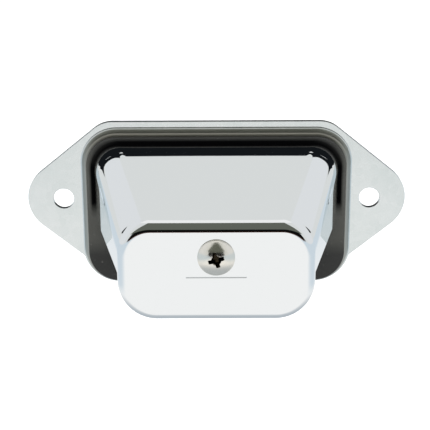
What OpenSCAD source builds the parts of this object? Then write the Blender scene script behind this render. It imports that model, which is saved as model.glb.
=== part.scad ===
// Number plate lamp with a chrome hood.
// X runs to the right, the lamp faces -Y and Z is up. The origin lies midway between the two
// mounting holes, on the back of the base plate. Forward distances are measured along -Y.

/* [Base plate] */
// Distance between the two mounting holes
hole_spacing = 95.25; // [94:0.25:110]
// Diameter of each mounting hole
hole_d = 6.4; // [4:0.1:8]
// Radius of the rounded ears
ear_r = 11.1; // [8:0.1:12]
// Thickness of the steel sheet
plate_t = 1.5; // [1:0.1:2]
// Height of the plate's top edge above the holes
plate_top = 24.6; // [24:0.1:28]
// Depth of the plate's straight lower edge below the holes
plate_low = 24.6; // [22:0.1:27]
// Angle of the slanting edges to the horizontal
plate_slant = 39; // [36:0.5:42]
// Radius where the slanting edges meet the straight ones
plate_blend_r = 9; // [5:0.5:12]

/* [Raised pan] */
// Width of the pan at its root
pan_w = 83; // [81:0.5:84]
// Upper edge of the pan above the holes
pan_top = 22.4; // [21.5:0.1:23]
// Lower edge of the pan below the holes
pan_low = 27.2; // [26:0.1:30]
// Corner radius of the pan at its root
pan_corner_r = 11; // [9:0.5:13]
// Height of the pan's floor in front of the mounting plane
pan_h = 4.8; // [4.4:0.1:7]
// Draft angle of the pan's wall
pan_draft = 14; // [8:1:18]
// Outer radius of the bend round the pan's floor
pan_bend_r = 1; // [0.8:0.1:1.6]
// Narrow land that runs round the pan where the plate is trimmed close
pan_land = 0.6; // [0.3:0.1:1.2]

/* [Gasket] */
// Thickness of the rubber
gasket_t = 1.7; // [1.2:0.1:2.5]
// Gap from the gasket's edge to the bend of the pan
gasket_gap = 0.1; // [0.05:0.05:0.3]
// Width of the gasket that lies inside the lens
gasket_lip = 1; // [0.5:0.1:2]

/* [Hood] */
// Thickness of the plated sheet
hood_t = 0.9; // [0.6:0.1:1.2]
// Distance from the mounting plane to the hood's front face
hood_front = 34; // [32:0.5:38]
// Width of the hood where it stands on the gasket
hood_root_w = 75.2; // [74.6:0.2:77]
// Upper edge of the hood at the gasket, above the holes
hood_root_top = 18.8; // [18.2:0.1:19]
// Draft angle of the side walls
hood_side_draft = 19.2; // [18:0.2:22]
// Draft angle of the short collar at the root
collar_draft = 15; // [10:1:20]
// Depth of the collar along the forward direction
collar_h = 4.4; // [3:0.1:6]
// Slope of the top behind the collar
hood_slope = 33.8; // [30:0.2:35]
// Radius of the fold between the sloping top and the front face
fold_r = 4.9; // [3:0.1:6]
// Radius between the side walls and the front face
side_r = 3; // [2:0.1:4]
// Radius along the lower edge of the front face
low_r = 2.2; // [1.5:0.1:3]
// Lower edge of the front face, below the holes
hood_low = 27.2; // [25:0.1:30]
// Corner radius of the top at the gasket
hood_root_corner_r = 8.5; // [8:0.5:12]
// Corner radius of the top at the front face
hood_front_corner_r = 10; // [6:0.5:11]
// Radius of the two lower corners of the front face
hood_low_corner_r = 11.6; // [9:0.2:13]
// Depth of the side walls' lower edge at the gasket, below the holes
cut_root_low = 3.7; // [2:0.1:6]
// Depth of the side walls' lower edge at the front, below the holes
cut_front_low = 13; // [11:0.1:16]
// Depth of the lip that is turned back round the front face
lip_depth = 2.6; // [2:0.1:4]
// Length of the line pressed into the front face
line_w = 17.4; // [10:0.2:24]
// Distance of that line below the holes
line_low = 13.6; // [13:0.1:16]
// Width of that line
line_thick = 0.3; // [0.2:0.05:0.6]
// Depth of that line
line_depth = 0.15; // [0.1:0.05:0.3]

/* [Lens] */
// Thickness of the lens wall
lens_t = 2; // [1.5:0.1:2.5]
// Gap between the lens's front corners and the hood's sides
lens_gap = 0.45; // [0.3:0.05:1.5]
// Upper edge of the lens at its rim, above the holes
lens_top = 16.3; // [16:0.1:16.6]
// Lower edge of the lens at its rim, below the holes
lens_low = 23.4; // [20:0.1:24]
// Draft angle of the lens's sides and floor
lens_draft = 3; // [1:0.5:4]
// Slope of the lens's top
lens_slope = 30; // [29:0.5:31]
// Corner radius of the lens
lens_corner_r = 8; // [5:0.5:8]
// Radius round the lens's front wall
lens_front_r = 4; // [3:0.1:5]
// Distance between the light-spreading ribs in the lens's floor
rib_pitch = 4; // [3:0.5:6]
// Height of each rib
rib_h = 0.7; // [0.4:0.1:1]

/* [Screw] */
// Diameter of the screw's thread
screw_d = 4.8; // [4:0.1:5]
// Diameter of the screw's head
head_d = 10.9; // [9:0.1:12]
// Height of the screw's head
head_h = 2.8; // [2.2:0.1:3.4]
// Thickness of the head's edge
head_rim = 0.5; // [0.3:0.1:0.8]
// Length of the screw's end that stands out of its nut
screw_over = 1.3; // [0.5:0.1:2]
// Distance of the screw below the holes
screw_low = 7.4; // [6:0.1:8]
// Turn of the cross recess
recess_turn = 17; // [0:1:45]
// Thickness of the rubber washer under the hood
seal_t = 0.6; // [0.4:0.1:1]
// Width of that washer's ring
seal_w = 2.2; // [1.5:0.1:3]

/* [Hood bracket] */
// Thickness of the bracket's strip
strap_t = 1.2; // [0.8:0.1:1.5]
// Width of the strip
strap_w = 12; // [10:0.5:14]
// Inner radius of the strip's bends
strap_r = 2; // [1:0.1:2.5]
// Gap between the strip and the lens above it
strap_gap = 0.8; // [0.5:0.1:1.2]
// Lower end of the strip's foot, below the holes
foot_low = 3; // [2.5:0.1:3.5]
// Length of the strip's front tab below the screw
tab_over = 5.4; // [4.5:0.1:6.5]
// Diameter of the threaded nut
nut_d = 8; // [7:0.1:9]
// Height of the threaded nut
nut_h = 3; // [2.5:0.1:3.5]
// Diameter of the rivets' shanks
rivet_d = 3; // [2.5:0.1:3.5]
// Diameter of the rivets' heads
rivet_head_d = 5; // [4.5:0.1:5.5]
// Height of the rivets' heads
rivet_head_h = 1.1; // [0.8:0.1:1.4]

/* [Socket] */
// Gap between the screw's end and the bulb's globe
bulb_gap = 1.9; // [1.4:0.1:2.4]
// Depth of the bulb's axis below the holes
bulb_low = 4; // [3:0.1:5]
// Gap between the socket's closed end and the inside of the lens
socket_gap = 7; // [6:0.2:8]
// Play between the bulb's base and the socket's shell
base_play = 0.5; // [0.3:0.1:0.8]
// Wall thickness of the shell
shell_t = 0.5; // [0.4:0.05:0.7]
// Length of the shell
shell_len = 15; // [14:0.1:16]
// Thickness of the socket bracket's sheet
angle_t = 1; // [0.8:0.1:1.4]
// Height of the socket bracket along Z
angle_h = 15; // [14:0.5:17]
// Length of the socket bracket's foot
angle_foot = 10; // [9:0.2:11]
// Wire thickness of the contact spring
spring_wire = 0.6; // [0.4:0.05:0.8]
// Number of turns of the contact spring
spring_turns = 4; // [3:1:5]
// Outer diameter of the contact spring
spring_d = 7.2; // [6:0.1:8]

/* [Bulb] */
// Diameter of the bulb's base
base_d = 9.3; // [9:0.05:9.4]
// Length of the bulb's base
base_len = 9.5; // [9:0.1:10]
// Diameter of the bayonet pins
pin_d = 1.5; // [1.3:0.1:1.7]
// Diameter of the glass globe
globe_d = 14.3; // [12:0.1:14.6]
// Thickness of the glass
glass_t = 0.6; // [0.4:0.1:0.8]

/* [Grommet] */
// Gap between the grommet's flange and the gasket
inlet_gap = 3.5; // [2:0.5:5]
// Depth of the wire inlet below the holes
inlet_low = 8; // [6:0.5:10]
// Diameter of the grommet's neck
grommet_neck_d = 8; // [7:0.1:9]
// Diameter of the grommet's flanges
grommet_d = 11; // [10:0.1:12]
// Thickness of each flange
grommet_flange = 1.3; // [0.8:0.1:1.6]
// Diameter of the hole for the wire
wire_hole_d = 3.4; // [2:0.1:4.5]

/* [Hidden] */

// How finely the round forms are divided
corner_steps = 8;
arc_steps = 6;
round_fn = 48;
small_fn = 24;
// A cut runs past a face by this much
past = 0.5;
// Radial clearance of a part that slides or passes through another
slip = 0.1;

zinc = "#dfe3e3";
chrome_colour = "#eef2f4";
rubber_colour = "#2e2e2d";
clear_colour = "#e9f2f580";
brass_colour = "#c9a75a";
steel_colour = "#b9bdc0";
fibre_colour = "#6d4a31";

// The pan
pan_inset = (pan_h - plate_t - pan_bend_r * (1 - sin(pan_draft))) * tan(pan_draft)
    + pan_bend_r * cos(pan_draft);
pan_back = pan_h - plate_t;
gasket_inset = pan_inset + gasket_gap;
seat_f = pan_h + gasket_t;

// The hood
collar_f = seat_f + collar_h;
collar_top = hood_root_top - collar_h * tan(collar_draft);
lip_f = hood_front - lip_depth;

// The lens's corners keep their radius until its walls have leaned in by this much
lens_ease = 1.5;

// The lens stands inside the hood, and the screw's washer fills the gap at the front
lens_front = hood_front - hood_t - seal_t;
lens_inner_front = lens_front - lens_t;
lens_half = hood_root_w / 2 - hood_t - lens_gap
    - (lens_front - lens_front_r / 2 - seat_f) * tan(hood_side_draft)
    + (lens_front - seat_f) * tan(lens_draft);

// The screw and its bracket
screw_len = hood_t + seal_t + lens_t + strap_t + nut_h + screw_over;
tab_f = lens_inner_front - strap_t / 2;
foot_f = pan_h + strap_t / 2;
strap_drop = (lens_t + strap_gap + strap_t / 2) / cos(lens_slope);
strap_top = lens_top - strap_drop;
foot_bend_z = strap_top - (foot_f - seat_f) * tan(lens_slope);
tab_bend_z = strap_top - (tab_f - seat_f) * tan(lens_slope);
foot_rivets = [rivet_head_d / 2 + 0.2 - foot_low, rivet_head_d * 3 / 2 + 0.6 - foot_low];

// The bulb's axis, the socket's closed end and the wire inlet
bulb_f = hood_front - screw_len - globe_d / 2 - bulb_gap;
socket_x = lens_half - lens_t - socket_gap;
inlet_x = lens_half - lens_t - gasket_lip - grommet_d / 2 - inlet_gap;

// Rivets of the socket bracket, seen from the front
shell_bore = base_d + base_play;
shell_r = shell_bore / 2 + shell_t;
angle_edge = 2.4;
angle_x = -socket_x + shell_len * 0.4;
angle_rivet_x = angle_x - angle_foot / 2;
angle_rivet_dz = angle_h / 2 - rivet_head_d / 2 - 0.4;

// Places along the bulb's axis, from the socket's closed end
washer_t = 0.8;
spring_z = shell_t + washer_t;
carrier_t = 1.2;
carrier_z = 5;
spring_len = carrier_z - spring_z;
button_z = carrier_z + carrier_t;
button_h = 0.7;
button_d = 4;
button_stem_d = 2.2;
contact_z = button_z + button_h;
contact_h = 0.8;
contact_d = 3.2;
bead_z = contact_z + contact_h;
bead_h = 1.5;
base_z = bead_z + 0.5;
pin_z = base_z + base_len * 0.42;
pin_reach = shell_r + 0.4;
slot_w = pin_d + 0.4;
slot_turn = 35;
base_t = 0.35;
neck_d = base_d - 2 * base_t - 0.1;
neck_z = base_z + base_len * 0.5;
globe_z = base_z + base_len + globe_d * 0.5 + 0.6;
stem_d = 3.6;
stem_z = neck_z - 1;
stem_rise = 2.6;
stem_len = base_len * 0.5 + stem_rise;
terminal_d = 1.4;
terminal_out = 4;
blade_w = 2.8;
blade_t = 0.8;
bush_d = 4.8;
bush_out = 0.8;
support_d = 0.4;
support_gap = 4.4;
filament_d = 0.9;

// Quarter turn of points round one corner, from angle a0
function corner(cx, cz, r, a0) =
    [for (i = [0:corner_steps]) [cx + r * cos(a0 + 90 * i / corner_steps),
        cz + r * sin(a0 + 90 * i / corner_steps)]];

// Rounded rectangle: half width w, top zt, bottom zb, upper and lower corner radii rt and rb
function frame_points(w, zt, zb, rt, rb) = concat(
    corner(w - rt, zt - rt, rt, 0),
    corner(rt - w, zt - rt, rt, 90),
    corner(rb - w, zb + rb, rb, 180),
    corner(w - rb, zb + rb, rb, 270));

// The same outline as a ring of points at forward distance f
function ring(f, points) = [for (p = points) [p[0], -f, p[1]]];

// A wall that starts at value v0 at f0, leans in by its draft and ends in an arc at f1
function arc_start(f1, r, draft) = f1 - r * (1 - sin(draft));
function line_end(f0, v0, f1, r, draft) = v0 - (arc_start(f1, r, draft) - f0) * tan(draft);
function wall(f, f0, v0, f1, r, draft) = f <= arc_start(f1, r, draft)
    ? v0 - (f - f0) * tan(draft)
    : line_end(f0, v0, f1, r, draft) - r * cos(draft)
        + sqrt(max(0, r * r - pow(f - f1 + r, 2)));

// Stations that crowd towards f1, where arcs of radius up to r end
function arc_stations(f1, r) =
    [for (i = [0:arc_steps]) f1 - r * (1 - sin(90 * i / arc_steps))];

// The pan's wall, drawn forward from the plate; shrink moves it inwards for its inner face
function pan_step(f, shrink) =
    wall(f, plate_t, 0, pan_h, pan_bend_r, pan_draft) - shrink;
function pan_ring(f, f_shape, shrink) = let (s = pan_step(f_shape, shrink))
    ring(f, frame_points(pan_w / 2 + s, pan_top + s, -pan_low - s,
        pan_corner_r + s, pan_corner_r + s));

// The root of the pan flares out to the land
function root_ring(i) = let (a = 90 * i / 3, s = pan_land * (1 - sin(a)))
    ring(plate_t + pan_land * (1 - cos(a)) - 0.02,
        frame_points(pan_w / 2 + s, pan_top + s, -pan_low - s,
            pan_corner_r + s, pan_corner_r + s));

// The hood's outer form
function hood_top(f, shrink) = f <= collar_f
    ? hood_root_top - shrink - (f - seat_f) * tan(collar_draft)
    : wall(f, collar_f, collar_top - shrink, hood_front - shrink, fold_r - shrink, hood_slope);
function hood_side(f, shrink) =
    wall(f, seat_f, hood_root_w / 2 - shrink, hood_front - shrink, side_r - shrink,
        hood_side_draft);
function hood_bottom(f, shrink) =
    -wall(f, seat_f, hood_low - shrink, hood_front - shrink, low_r - shrink, 0);
function hood_corner(f) = hood_root_corner_r
    + (hood_front_corner_r - hood_root_corner_r) * (f - seat_f) / (hood_front - seat_f);
function hood_ring(f, f_shape, shrink) =
    let (inset = hood_side(lip_f, shrink) - min(hood_side(f_shape, shrink),
        hood_side(lip_f, shrink)))
    ring(f, frame_points(hood_side(f_shape, shrink), hood_top(f_shape, shrink),
        hood_bottom(f_shape, shrink), hood_corner(f_shape) - shrink - inset,
        hood_low_corner_r - shrink - inset));
function hood_stations(shrink) = concat(
    [seat_f, collar_f - collar_h / 4, collar_f, (collar_f + hood_front - fold_r) / 2],
    arc_stations(hood_front - shrink, fold_r - shrink));

// The lens, a cup with its rim on the gasket
function lens_ring(f, f_shape, shrink) = let (
        f1 = lens_front - shrink,
        r = lens_front_r - shrink,
        w = wall(f_shape, seat_f, lens_half - shrink, f1, r, lens_draft),
        top = wall(f_shape, seat_f, lens_top - shrink / cos(lens_slope), f1, r, lens_slope),
        low = wall(f_shape, seat_f, lens_low - shrink, f1, r, lens_draft),
        rc = lens_corner_r - shrink - max(0, lens_half - shrink - w - lens_ease))
    ring(f, frame_points(w, top, -low, rc, rc));
function lens_stations(shrink) = concat([seat_f],
    arc_stations(lens_front - shrink, lens_front_r - shrink));

// Replaces each inner point of a path by an arc of radius r
function unit(v) = v / norm(v);
function arc_at(a, b, c, r) = let (
        u = unit(a - b),
        v = unit(c - b),
        half = acos(u * v) / 2,
        centre = b + unit(u + v) * r / sin(half),
        s = b + u * r / tan(half) - centre,
        e = b + v * r / tan(half) - centre,
        turn = 180 - 2 * half)
    [for (i = [0:arc_steps]) centre
        + (s * sin(turn * (1 - i / arc_steps)) + e * sin(turn * i / arc_steps)) / sin(turn)];
function bent(path, r) = [for (i = [0:len(path) - 1])
    each (i == 0 || i == len(path) - 1) ? [path[i]]
        : arc_at(path[i - 1], path[i], path[i + 1], r)];

// The path moved sideways by d
function heading(path, i) =
    unit(path[min(i + 1, len(path) - 1)] - path[max(i - 1, 0)]);
function beside(path, d) = [for (i = [0:len(path) - 1])
    path[i] + d * [-heading(path, i)[1], heading(path, i)[0]]];
function reversed(list) = [for (i = [len(list) - 1:-1:0]) list[i]];

// Solid through rings of points that have the same number of points each
module loft(rings) {
    n = len(rings[0]);
    last = len(rings) - 1;
    sides = [for (i = [0:last - 1]) for (j = [0:n - 1]) let (k = (j + 1) % n)
        each [[i * n + j, (i + 1) * n + j, (i + 1) * n + k], [i * n + j, (i + 1) * n + k, i * n + k]]];
    back = [[for (j = [0:n - 1]) j]];
    front = [[for (j = [n - 1:-1:0]) last * n + j]];
    polyhedron([for (r = rings) each r], concat(back, sides, front), convexity = 6);
}

// Flat form in X and Z, drawn forward from f0 by h
module forward(f0, h) {
    translate([0, -f0, 0])
        rotate([90, 0, 0])
            linear_extrude(h)
                children();
}

// Round bar along the forward direction
module bar(x, z, f0, h, d, fn = small_fn) {
    translate([x, -f0, z])
        rotate([90, 0, 0])
            cylinder(h = h, d = d, $fn = fn);
}

// Flat form in forward distance and Z, spread along X by w about the middle
module across(w) {
    translate([-w / 2, 0, 0])
        rotate([90, 0, 90])
            linear_extrude(w)
                mirror([1, 0])
                    children();
}

// Moves a part that is built upwards along +Z onto the bulb's axis
module on_bulb_axis(z = 0) {
    translate([-socket_x + z, -bulb_f, -bulb_low])
        rotate([0, 90, 0])
            children();
}

module plate_outline() {
    blend = plate_blend_r;
    run_top = (plate_top - blend - (ear_r - blend) / cos(plate_slant)) / tan(plate_slant);
    run_low = (plate_low - blend - (ear_r - blend) / cos(plate_slant)) / tan(plate_slant);
    hull() {
        for (side = [-1, 1]) {
            translate([side * hole_spacing / 2, 0])
                circle(ear_r, $fn = 64);
            translate([side * (hole_spacing / 2 - run_top), plate_top - blend])
                circle(blend, $fn = 64);
            translate([side * (hole_spacing / 2 - run_low), blend - plate_low])
                circle(blend, $fn = 64);
        }
    }
    polygon(frame_points(pan_w / 2 + pan_land, pan_top + pan_land, -pan_low - pan_land,
        pan_corner_r + pan_land, pan_corner_r + pan_land));
}

module base_plate() {
    color(zinc) difference() {
        union() {
            forward(0, plate_t) plate_outline();
            loft(concat([for (i = [0:3]) root_ring(i)],
                [for (f = arc_stations(pan_h, pan_bend_r)) pan_ring(f, f, 0)]));
        }
        loft(concat([pan_ring(-past, plate_t, plate_t)],
            [for (f = arc_stations(pan_h, pan_bend_r))
                pan_ring(f - plate_t, f, plate_t)]));
        for (side = [-1, 1])
            bar(side * hole_spacing / 2, 0, -past, plate_t + 2 * past, hole_d, round_fn);
        for (p = rivet_places())
            bar(p[0], p[1], pan_back - past, plate_t + 2 * past, rivet_d + slip);
        bar(inlet_x, -inlet_low, pan_back - past, plate_t + 2 * past,
            grommet_neck_d + slip, round_fn);
    }
}

// Rivets of the strap in the middle, and of the socket bracket on the left
function rivet_places() = concat(
    [for (z = foot_rivets) [0, z]],
    [for (s = [-1, 1]) [angle_rivet_x, -bulb_low + s * angle_rivet_dz]]);

module gasket() {
    inner = lens_t + gasket_lip;
    color(rubber_colour) forward(pan_h, gasket_t) difference() {
        polygon(frame_points(pan_w / 2 - gasket_inset, pan_top - gasket_inset,
            gasket_inset - pan_low, pan_corner_r - gasket_inset, pan_corner_r - gasket_inset));
        polygon(frame_points(lens_half - inner, lens_top - inner / cos(lens_slope),
            inner - lens_low, lens_corner_r - inner, lens_corner_r - inner));
    }
}

module hood() {
    inner_f = concat([seat_f - past], hood_stations(hood_t));
    color(chrome_colour) difference() {
        loft([for (f = hood_stations(0)) hood_ring(f, f, 0)]);
        loft([for (f = inner_f) hood_ring(f, max(f, seat_f), hood_t)]);
        across(hood_root_w + 2 * past) polygon([
            [seat_f - past, -cut_root_low],
            [seat_f, -cut_root_low],
            [lip_f, -cut_front_low],
            [lip_f, -hood_low - past],
            [seat_f - past, -hood_low - past]]);
        bar(0, -screw_low, lens_front, hood_front, screw_d + 4 * slip, round_fn);
        translate([-line_w / 2, -hood_front - past, -line_low - line_thick / 2])
            cube([line_w, line_depth + past, line_thick]);
    }
}

module lens() {
    inner_f = concat([seat_f - past], lens_stations(lens_t));
    rib_count = floor((lens_half - lens_corner_r) / rib_pitch);
    floor_drop = (lens_front - seat_f) * tan(lens_draft);
    color(clear_colour) difference() {
        union() {
            difference() {
                loft([for (f = lens_stations(0)) lens_ring(f, f, 0)]);
                loft([for (f = inner_f) lens_ring(f, max(f, seat_f), lens_t)]);
            }
            for (i = [-rib_count:rib_count])
                lens_rib(i * rib_pitch, floor_drop);
        }
        bar(0, -screw_low, lens_inner_front - past, lens_t + 2 * past,
            screw_d + 4 * slip, round_fn);
    }
}

// One rib along the floor of the lens, with a three-cornered section
module lens_rib(x, drop) {
    f0 = seat_f + lens_t;
    f1 = lens_inner_front - lens_front_r + lens_t;
    z = -lens_low + lens_t;
    rise = drop * (f1 - f0) / (lens_front - seat_f);
    half = rib_pitch * 0.3;
    base = [for (f = [f0, f1]) each [
        [x - half, -f, z + (f == f0 ? 0 : rise) - past],
        [x + half, -f, z + (f == f0 ? 0 : rise) - past],
        [x, -f, z + (f == f0 ? 0 : rise) + rib_h]]];
    polyhedron(base, [[0, 1, 2], [5, 4, 3], [0, 3, 4], [0, 4, 1], [1, 4, 5], [1, 5, 2],
        [2, 5, 3], [2, 3, 0]]);
}

module hood_screw() {
    dome = head_h - head_rim;
    dome_r = (pow(head_d / 2, 2) + dome * dome) / (2 * dome);
    half_angle = asin(head_d / 2 / dome_r);
    profile = concat([[0, -screw_len], [screw_d / 2 - 0.5, -screw_len],
        [screw_d / 2, 0.5 - screw_len], [screw_d / 2, 0], [head_d / 2, 0]],
        [for (i = [0:10]) [dome_r * sin(half_angle * (1 - i / 10)),
            head_h - dome_r + dome_r * cos(half_angle * (1 - i / 10))]]);
    color(steel_colour) translate([0, -hood_front, -screw_low]) rotate([90, 0, 0]) difference() {
        rotate_extrude($fn = round_fn) polygon(profile);
        cross_recess();
    }
}

// Four tapered slots about a sunken cone
module cross_recess() {
    depth = head_h * 0.75;
    span = head_d * 0.44;
    slot = head_d * 0.11;
    for (turn = [0, 90])
        rotate([0, 0, recess_turn + turn])
            hull() {
                translate([-span / 2, -slot / 2, head_h])
                    cube([span, slot, past]);
                translate([-span / 5, -slot / 3, head_h - depth])
                    cube([span * 2 / 5, slot * 2 / 3, past]);
            }
    translate([0, 0, head_h - depth])
        cylinder(h = depth + past, d1 = slot, d2 = span * 0.62, $fn = small_fn);
}

module screw_seal() {
    color(rubber_colour) translate([0, -lens_front, -screw_low]) rotate([90, 0, 0]) difference() {
        cylinder(h = seal_t, d = screw_d + 2 * slip + 2 * seal_w, $fn = round_fn);
        translate([0, 0, -past])
            cylinder(h = seal_t + 2 * past, d = screw_d + 2 * slip, $fn = round_fn);
    }
}

module hood_bracket() {
    path = bent([[foot_f, -foot_low], [foot_f, foot_bend_z], [tab_f, tab_bend_z],
        [tab_f, -screw_low - tab_over]], strap_r + strap_t / 2);
    color(steel_colour) difference() {
        across(strap_w)
            polygon(concat(beside(path, strap_t / 2), reversed(beside(path, -strap_t / 2))));
        bar(0, -screw_low, tab_f - strap_t, 2 * strap_t, screw_d + 2 * slip, round_fn);
        for (z = foot_rivets)
            bar(0, z, pan_h - past, strap_t + 2 * past, rivet_d + slip);
    }
}

module clinch_nut() {
    color(brass_colour) translate([0, strap_t / 2 - tab_f, -screw_low]) rotate([-90, 0, 0])
        difference() {
            cylinder(h = nut_h, d = nut_d, $fn = 6);
            translate([0, 0, -past])
                cylinder(h = nut_h + 2 * past, d = screw_d + slip, $fn = round_fn);
        }
}

// A rivet with a domed head in front, its shank and the closing head behind the pan
module rivet(x, z, grip_f, grip) {
    translate([x, -grip_f, z]) rotate([90, 0, 0]) rotate_extrude($fn = small_fn) polygon([
        [0, -grip - rivet_head_h * 0.8],
        [rivet_head_d * 0.4, -grip - rivet_head_h * 0.8],
        [rivet_head_d * 0.46, -grip],
        [rivet_d / 2, -grip],
        [rivet_d / 2, 0],
        [rivet_head_d / 2, 0],
        [rivet_head_d * 0.46, rivet_head_h * 0.5],
        [rivet_head_d * 0.28, rivet_head_h * 0.92],
        [0, rivet_head_h]]);
}

module rivets() {
    color(steel_colour) {
        for (z = foot_rivets)
            rivet(0, z, pan_h + strap_t, plate_t + strap_t);
        for (s = [-1, 1])
            rivet(angle_rivet_x, -bulb_low + s * angle_rivet_dz, pan_h + angle_t,
                plate_t + angle_t);
    }
}

// Upright sheet that grips the shell, with its foot on the pan's floor
module socket_bracket() {
    reach = bulb_f + shell_r + angle_edge - pan_h;
    color(steel_colour) difference() {
        union() {
            translate([angle_x - angle_t, -pan_h - reach, -bulb_low - angle_h / 2])
                cube([angle_t, reach, angle_h]);
            translate([angle_x - angle_foot, -pan_h - angle_t, -bulb_low - angle_h / 2])
                cube([angle_foot, angle_t, angle_h]);
        }
        on_bulb_axis()
            cylinder(h = 2 * socket_x, r = shell_r + slip / 2, $fn = round_fn);
        for (s = [-1, 1])
            bar(angle_rivet_x, -bulb_low + s * angle_rivet_dz, pan_h - past,
                angle_t + 2 * past, rivet_d + slip);
    }
}

// Slot for one pin: straight in from the open end, then round by a short turn
module bayonet_slot() {
    inner = shell_bore / 2 - 0.3;
    outer = shell_r + 0.5;
    pin_half = asin(slot_w / 2 / shell_r);
    angles = [for (i = [0:arc_steps]) -pin_half + (slot_turn + 2 * pin_half) * i / arc_steps];
    translate([inner, -slot_w / 2, pin_z - slot_w / 2])
        cube([outer - inner, slot_w, shell_len]);
    translate([0, 0, pin_z - slot_w / 2])
        linear_extrude(slot_w)
            polygon(concat([for (a = angles) inner * [cos(a), sin(a)]],
                [for (a = reversed(angles)) outer * [cos(a), sin(a)]]));
}

module socket_shell() {
    color(brass_colour) on_bulb_axis() difference() {
        cylinder(h = shell_len, r = shell_r, $fn = round_fn);
        translate([0, 0, shell_t])
            cylinder(h = shell_len, d = shell_bore, $fn = round_fn);
        translate([0, 0, -past])
            cylinder(h = 2 * past + shell_t, d = bush_d + slip, $fn = small_fn);
        for (turn = [0, 180])
            rotate([0, 0, turn])
                bayonet_slot();
    }
}

module contact_carrier() {
    color(fibre_colour) on_bulb_axis(carrier_z) difference() {
        cylinder(h = carrier_t, d = shell_bore - 4 * slip, $fn = round_fn);
        translate([0, 0, -past])
            cylinder(h = carrier_t + 2 * past, d = button_stem_d + slip, $fn = small_fn);
    }
}

module contact_button() {
    color(brass_colour) on_bulb_axis(carrier_z) rotate_extrude($fn = small_fn) polygon([
        [0, 0], [button_stem_d / 2, 0], [button_stem_d / 2, carrier_t],
        [button_d / 2, carrier_t], [button_d / 2, carrier_t + button_h * 0.6],
        [button_d * 0.3, carrier_t + button_h], [0, carrier_t + button_h]]);
}

// Wire of round section wound into a helix
module contact_spring() {
    steps = 14;
    section = 6;
    r = (spring_d - spring_wire) / 2;
    rise = spring_len - spring_wire;
    count = spring_turns * steps;
    points = [for (i = [0:count]) let (a = 360 * i / steps) for (k = [0:section - 1])
        let (b = 360 * k / section, rr = r + spring_wire / 2 * cos(b))
        [rr * cos(a), rr * sin(a), spring_wire / 2 * (1 + sin(b)) + rise * i / count]];
    sides = [for (i = [0:count - 1]) for (k = [0:section - 1]) let (m = (k + 1) % section)
        each [[i * section + k, i * section + m, (i + 1) * section + m],
            [i * section + k, (i + 1) * section + m, (i + 1) * section + k]]];
    ends = [[for (k = [section - 1:-1:0]) k], [for (k = [0:section - 1]) count * section + k]];
    color(steel_colour) on_bulb_axis(spring_z)
        polyhedron(points, concat(sides, ends), convexity = 10);
}

module rear_insulator() {
    color(fibre_colour) on_bulb_axis() difference() {
        union() {
            translate([0, 0, -bush_out])
                cylinder(h = bush_out + shell_t + past / 2, d = bush_d, $fn = small_fn);
            translate([0, 0, shell_t])
                cylinder(h = washer_t, d = shell_bore - 2 * slip, $fn = round_fn);
        }
        translate([0, 0, -bush_out - past])
            cylinder(h = bush_out + shell_t + washer_t + 2 * past, d = terminal_d + slip,
                $fn = small_fn);
    }
}

module feed_terminal() {
    color(brass_colour) on_bulb_axis() {
        translate([0, 0, -bush_out])
            cylinder(h = carrier_z + bush_out, d = terminal_d, $fn = small_fn);
        difference() {
            translate([-blade_w / 2, -blade_t / 2, -terminal_out])
                cube([blade_w, blade_t, terminal_out - bush_out]);
            translate([0, blade_t, -terminal_out / 2 - bush_out])
                rotate([90, 0, 0])
                    cylinder(h = 2 * blade_t, d = blade_w * 0.35, $fn = 16);
        }
    }
}

// Points of the bulb's glass, from the neck to the tip; shrink gives the inner face
function bulb_profile(shrink) = let (
        r = globe_d / 2 - shrink,
        neck = neck_d / 2 - shrink,
        a = asin(neck / r))
    concat([[neck, neck_z], [neck, globe_z - r * cos(a) - 0.4]],
        [for (i = [0:12]) let (b = a + 6 + (180 - a - 6) * i / 12)
            [r * sin(b), globe_z - r * cos(b)]]);

module bulb_glass() {
    outer = bulb_profile(0);
    color(clear_colour) on_bulb_axis() rotate_extrude($fn = round_fn)
        polygon(concat(outer, reversed(bulb_profile(glass_t))));
}

module bulb_base() {
    color(brass_colour) on_bulb_axis(base_z) difference() {
        union() {
            cylinder(h = base_len, d = base_d, $fn = round_fn);
            rotate([0, 90, slot_turn])
                translate([base_z - pin_z, 0, -pin_reach])
                    cylinder(h = 2 * pin_reach, d = pin_d, $fn = 16);
        }
        translate([0, 0, base_t])
            cylinder(h = base_len, d = base_d - 2 * base_t, $fn = round_fn);
        translate([0, 0, -past])
            cylinder(h = base_t + 2 * past, d = base_d * 0.75, $fn = round_fn);
    }
}

// Glass bead that closes the base and carries the contact
module bulb_insulator() {
    color("#1d1d22") on_bulb_axis() rotate_extrude($fn = small_fn) polygon([
        [0, bead_z], [contact_d / 2, bead_z], [base_d * 0.375 - slip / 2, base_z],
        [base_d * 0.375 - slip / 2, base_z + base_t], [base_d * 0.375 - slip / 2, bead_z + bead_h],
        [0, bead_z + bead_h]]);
}

module bulb_contact() {
    color(steel_colour) on_bulb_axis(contact_z) rotate_extrude($fn = small_fn) polygon([
        [0, 0], [contact_d * 0.3, 0], [contact_d / 2, contact_h * 0.6],
        [contact_d / 2, contact_h], [0, contact_h]]);
}

// Flared stem that joins the neck and carries the wires
module bulb_stem() {
    foot_r = neck_d / 2 - glass_t;
    color(clear_colour) on_bulb_axis(stem_z) rotate_extrude($fn = small_fn) polygon([
        [0, 0], [foot_r, 0], [foot_r, 0.8], [stem_d / 2, 2.4], [stem_d / 2, stem_len - 0.8],
        [stem_d * 0.3, stem_len], [0, stem_len]]);
}

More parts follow.
